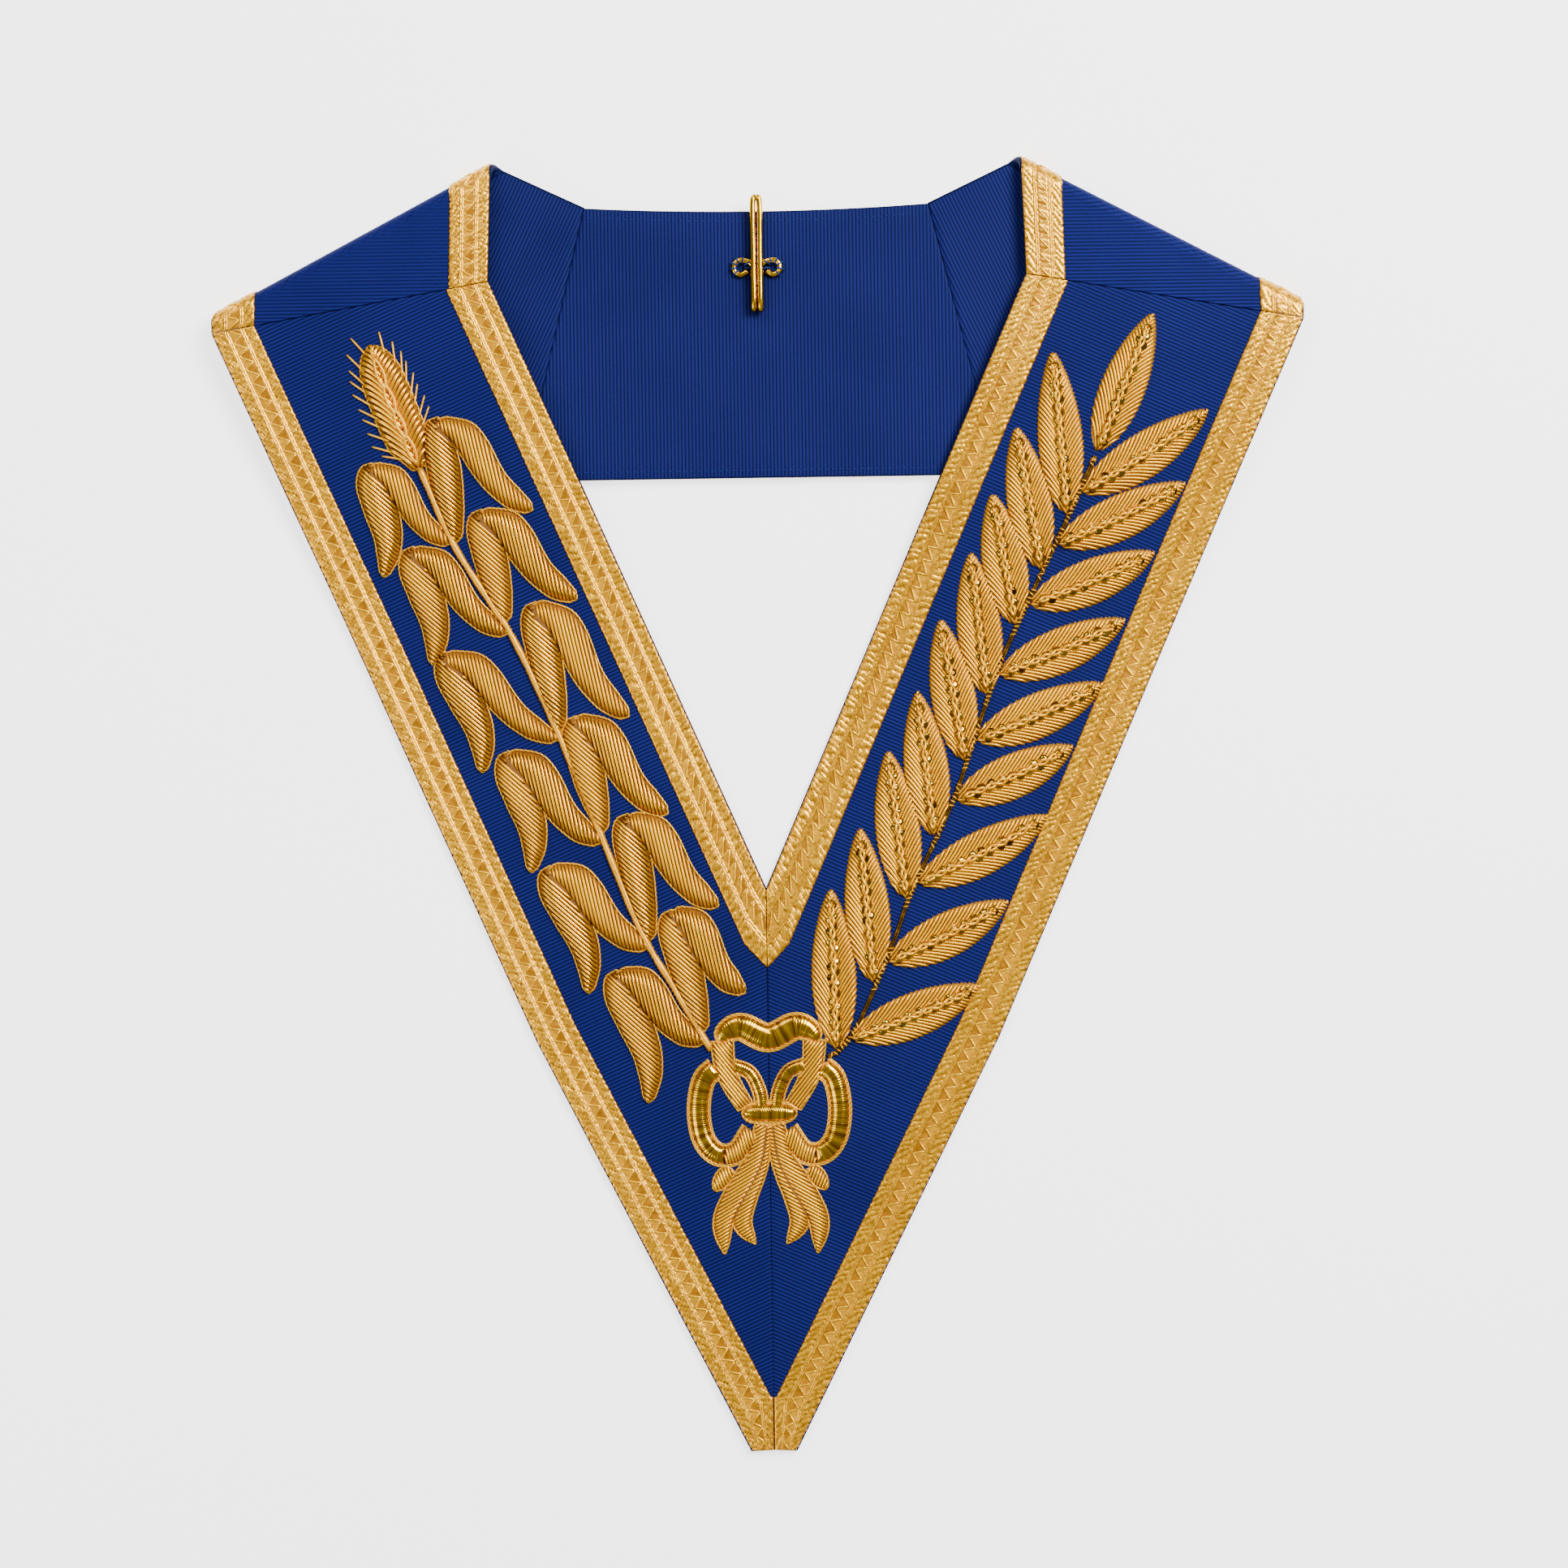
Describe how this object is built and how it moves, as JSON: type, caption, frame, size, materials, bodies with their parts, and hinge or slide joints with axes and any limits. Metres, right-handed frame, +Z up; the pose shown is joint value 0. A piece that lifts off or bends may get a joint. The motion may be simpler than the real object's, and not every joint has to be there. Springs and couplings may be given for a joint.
{
  "type": "masonic collar",
  "caption": "V-shaped ribbed ribbon collar lying flat, with lace edges, padded gold corn and leaf sprays, a bow above the point and a wire hook on the back.",
  "frame": {"origin": "middle of the base of the whole collar as it lies on a flat surface", "axes": "+Y from the point of the V to the neck edge, +X towards the band with the leaf spray, seen from above, +Z up out of the front face"},
  "size_m": [0.408, 0.4842, 0.0119],
  "materials": {
    "ribbon": "royal blue ribbed ribbon, matte with a soft sheen on each rib",
    "lining_ribbon": "royal blue ribbed ribbon, the reverse side shown as lining",
    "gold_lace": "woven metallic gold braid with corded zigzag middle",
    "gold_purl": "rows of coiled gold wire laid over felt padding",
    "gold_plate": "bright flattened gold wire with fine crimps",
    "hook_brass": "polished wire"
  },
  "bodies": {
    "root": {"acacia_leaf_inner_1": "gold_purl", "acacia_leaf_inner_2": "gold_purl", "acacia_leaf_inner_3": "gold_purl", "acacia_leaf_inner_4": "gold_purl", "acacia_leaf_inner_5": "gold_purl", "acacia_leaf_inner_6": "gold_purl", "acacia_leaf_inner_7": "gold_purl", "acacia_leaf_inner_8": "gold_purl", "acacia_leaf_inner_9": "gold_purl", "acacia_leaf_outer_1": "gold_purl", "acacia_leaf_outer_2": "gold_purl", "acacia_leaf_outer_3": "gold_purl", "acacia_leaf_outer_4": "gold_purl", "acacia_leaf_outer_5": "gold_purl", "acacia_leaf_outer_6": "gold_purl", "acacia_leaf_outer_7": "gold_purl", "acacia_leaf_outer_8": "gold_purl", "acacia_leaf_outer_9": "gold_purl", "acacia_leaf_top": "gold_purl", "acacia_stem": "gold_plate", "arch_leaf_inner_1": "gold_purl", "arch_leaf_inner_2": "gold_purl", "arch_leaf_inner_3": "gold_purl", "arch_leaf_inner_4": "gold_purl", "arch_leaf_inner_5": "gold_purl", "arch_leaf_inner_6": "gold_purl", "arch_leaf_outer_1": "gold_purl", "arch_leaf_outer_2": "gold_purl", "arch_leaf_outer_3": "gold_purl", "arch_leaf_outer_4": "gold_purl", "arch_leaf_outer_5": "gold_purl", "arch_leaf_outer_6": "gold_purl", "back_hook": "hook_brass", "back_panel": "lining_ribbon", "bow_bud_left": "gold_purl", "bow_bud_right": "gold_purl", "bow_knot": "gold_plate", "bow_loop_left": "gold_plate", "bow_loop_right": "gold_plate", "bow_ribbon_left": "gold_purl", "bow_ribbon_right": "gold_purl", "bow_tail_left": "gold_purl", "bow_tail_right": "gold_purl", "bow_top_bar": "gold_plate", "front_band_left": "ribbon", "front_band_right": "ribbon", "lace_back_neck": "gold_lace", "lace_back_outer": "gold_lace", "lace_front_inner_left": "gold_lace", "lace_front_inner_right": "gold_lace", "lace_front_outer_left": "gold_lace", "lace_front_outer_right": "gold_lace", "lace_shoulder_inner_left": "gold_lace", "lace_shoulder_inner_right": "gold_lace", "lace_shoulder_outer_left": "gold_lace", "lace_shoulder_outer_right": "gold_lace", "shoulder_left": "ribbon", "shoulder_right": "ribbon", "wheat_ear": "gold_purl", "wheat_stem": "gold_plate"}
  },
  "joints": []
}
